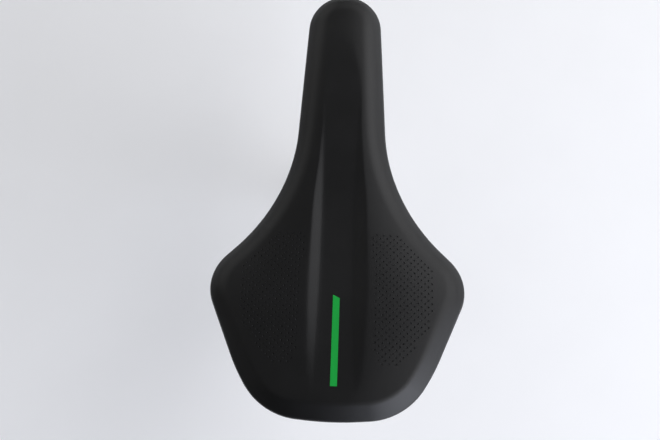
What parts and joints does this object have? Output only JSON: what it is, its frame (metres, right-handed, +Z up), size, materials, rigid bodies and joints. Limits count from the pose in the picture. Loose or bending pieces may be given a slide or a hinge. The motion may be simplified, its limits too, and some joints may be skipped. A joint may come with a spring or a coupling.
{
  "type": "bicycle saddle on its seat post",
  "caption": "Padded bicycle saddle with a central channel and perforated wings, on bent steel rails in a toothed tilt clamp at the top of a leaning seat post.",
  "frame": {"origin": "on the axis of the seat post at its minimum insertion, where the frame's tube ends", "axes": "+Y forward along the level saddle, +X to the rider's right, +Z up; the post leans back by 17 degrees"},
  "size_m": [0.1554, 0.2766, 0.2467],
  "materials": {
    "cover_skin": "satin synthetic leather with fine grain and perforated wings",
    "stripe_print": "green print on the skin",
    "base_plastic": "moulded, fine texture",
    "rail_steel": "black enamel, semi gloss",
    "clamp_steel": "black enamel on pressed steel",
    "zinc_steel": "zinc plated",
    "post_enamel": "black enamel, gloss"
  },
  "bodies": {
    "post": {"post": "post_enamel", "clamp_band": "clamp_steel", "tooth_disc_left": "clamp_steel", "tooth_disc_right": "clamp_steel"},
    "rail_clamp": {"cross_bolt": "zinc_steel", "inner_plate_left": "clamp_steel", "inner_plate_right": "clamp_steel", "outer_plate_left": "clamp_steel", "outer_plate_right": "clamp_steel", "washer_left": "zinc_steel", "washer_right": "zinc_steel", "nut_left": "zinc_steel", "nut_right": "zinc_steel"},
    "saddle": {"cover": "cover_skin", "base": "base_plastic", "rails": "rail_steel"}
  },
  "joints": [
    {"name": "saddle_tilt", "type": "hinge", "parent": "post", "child": "rail_clamp", "pos_m": [0, -0.05224, 0.09905], "axis": [1, 0, 0], "range_deg": [-12, 12]},
    {"name": "saddle_slide", "type": "slide", "parent": "rail_clamp", "child": "saddle", "axis": [0, 1, 0], "range_m": [-0.015, 0.015]}
  ]
}
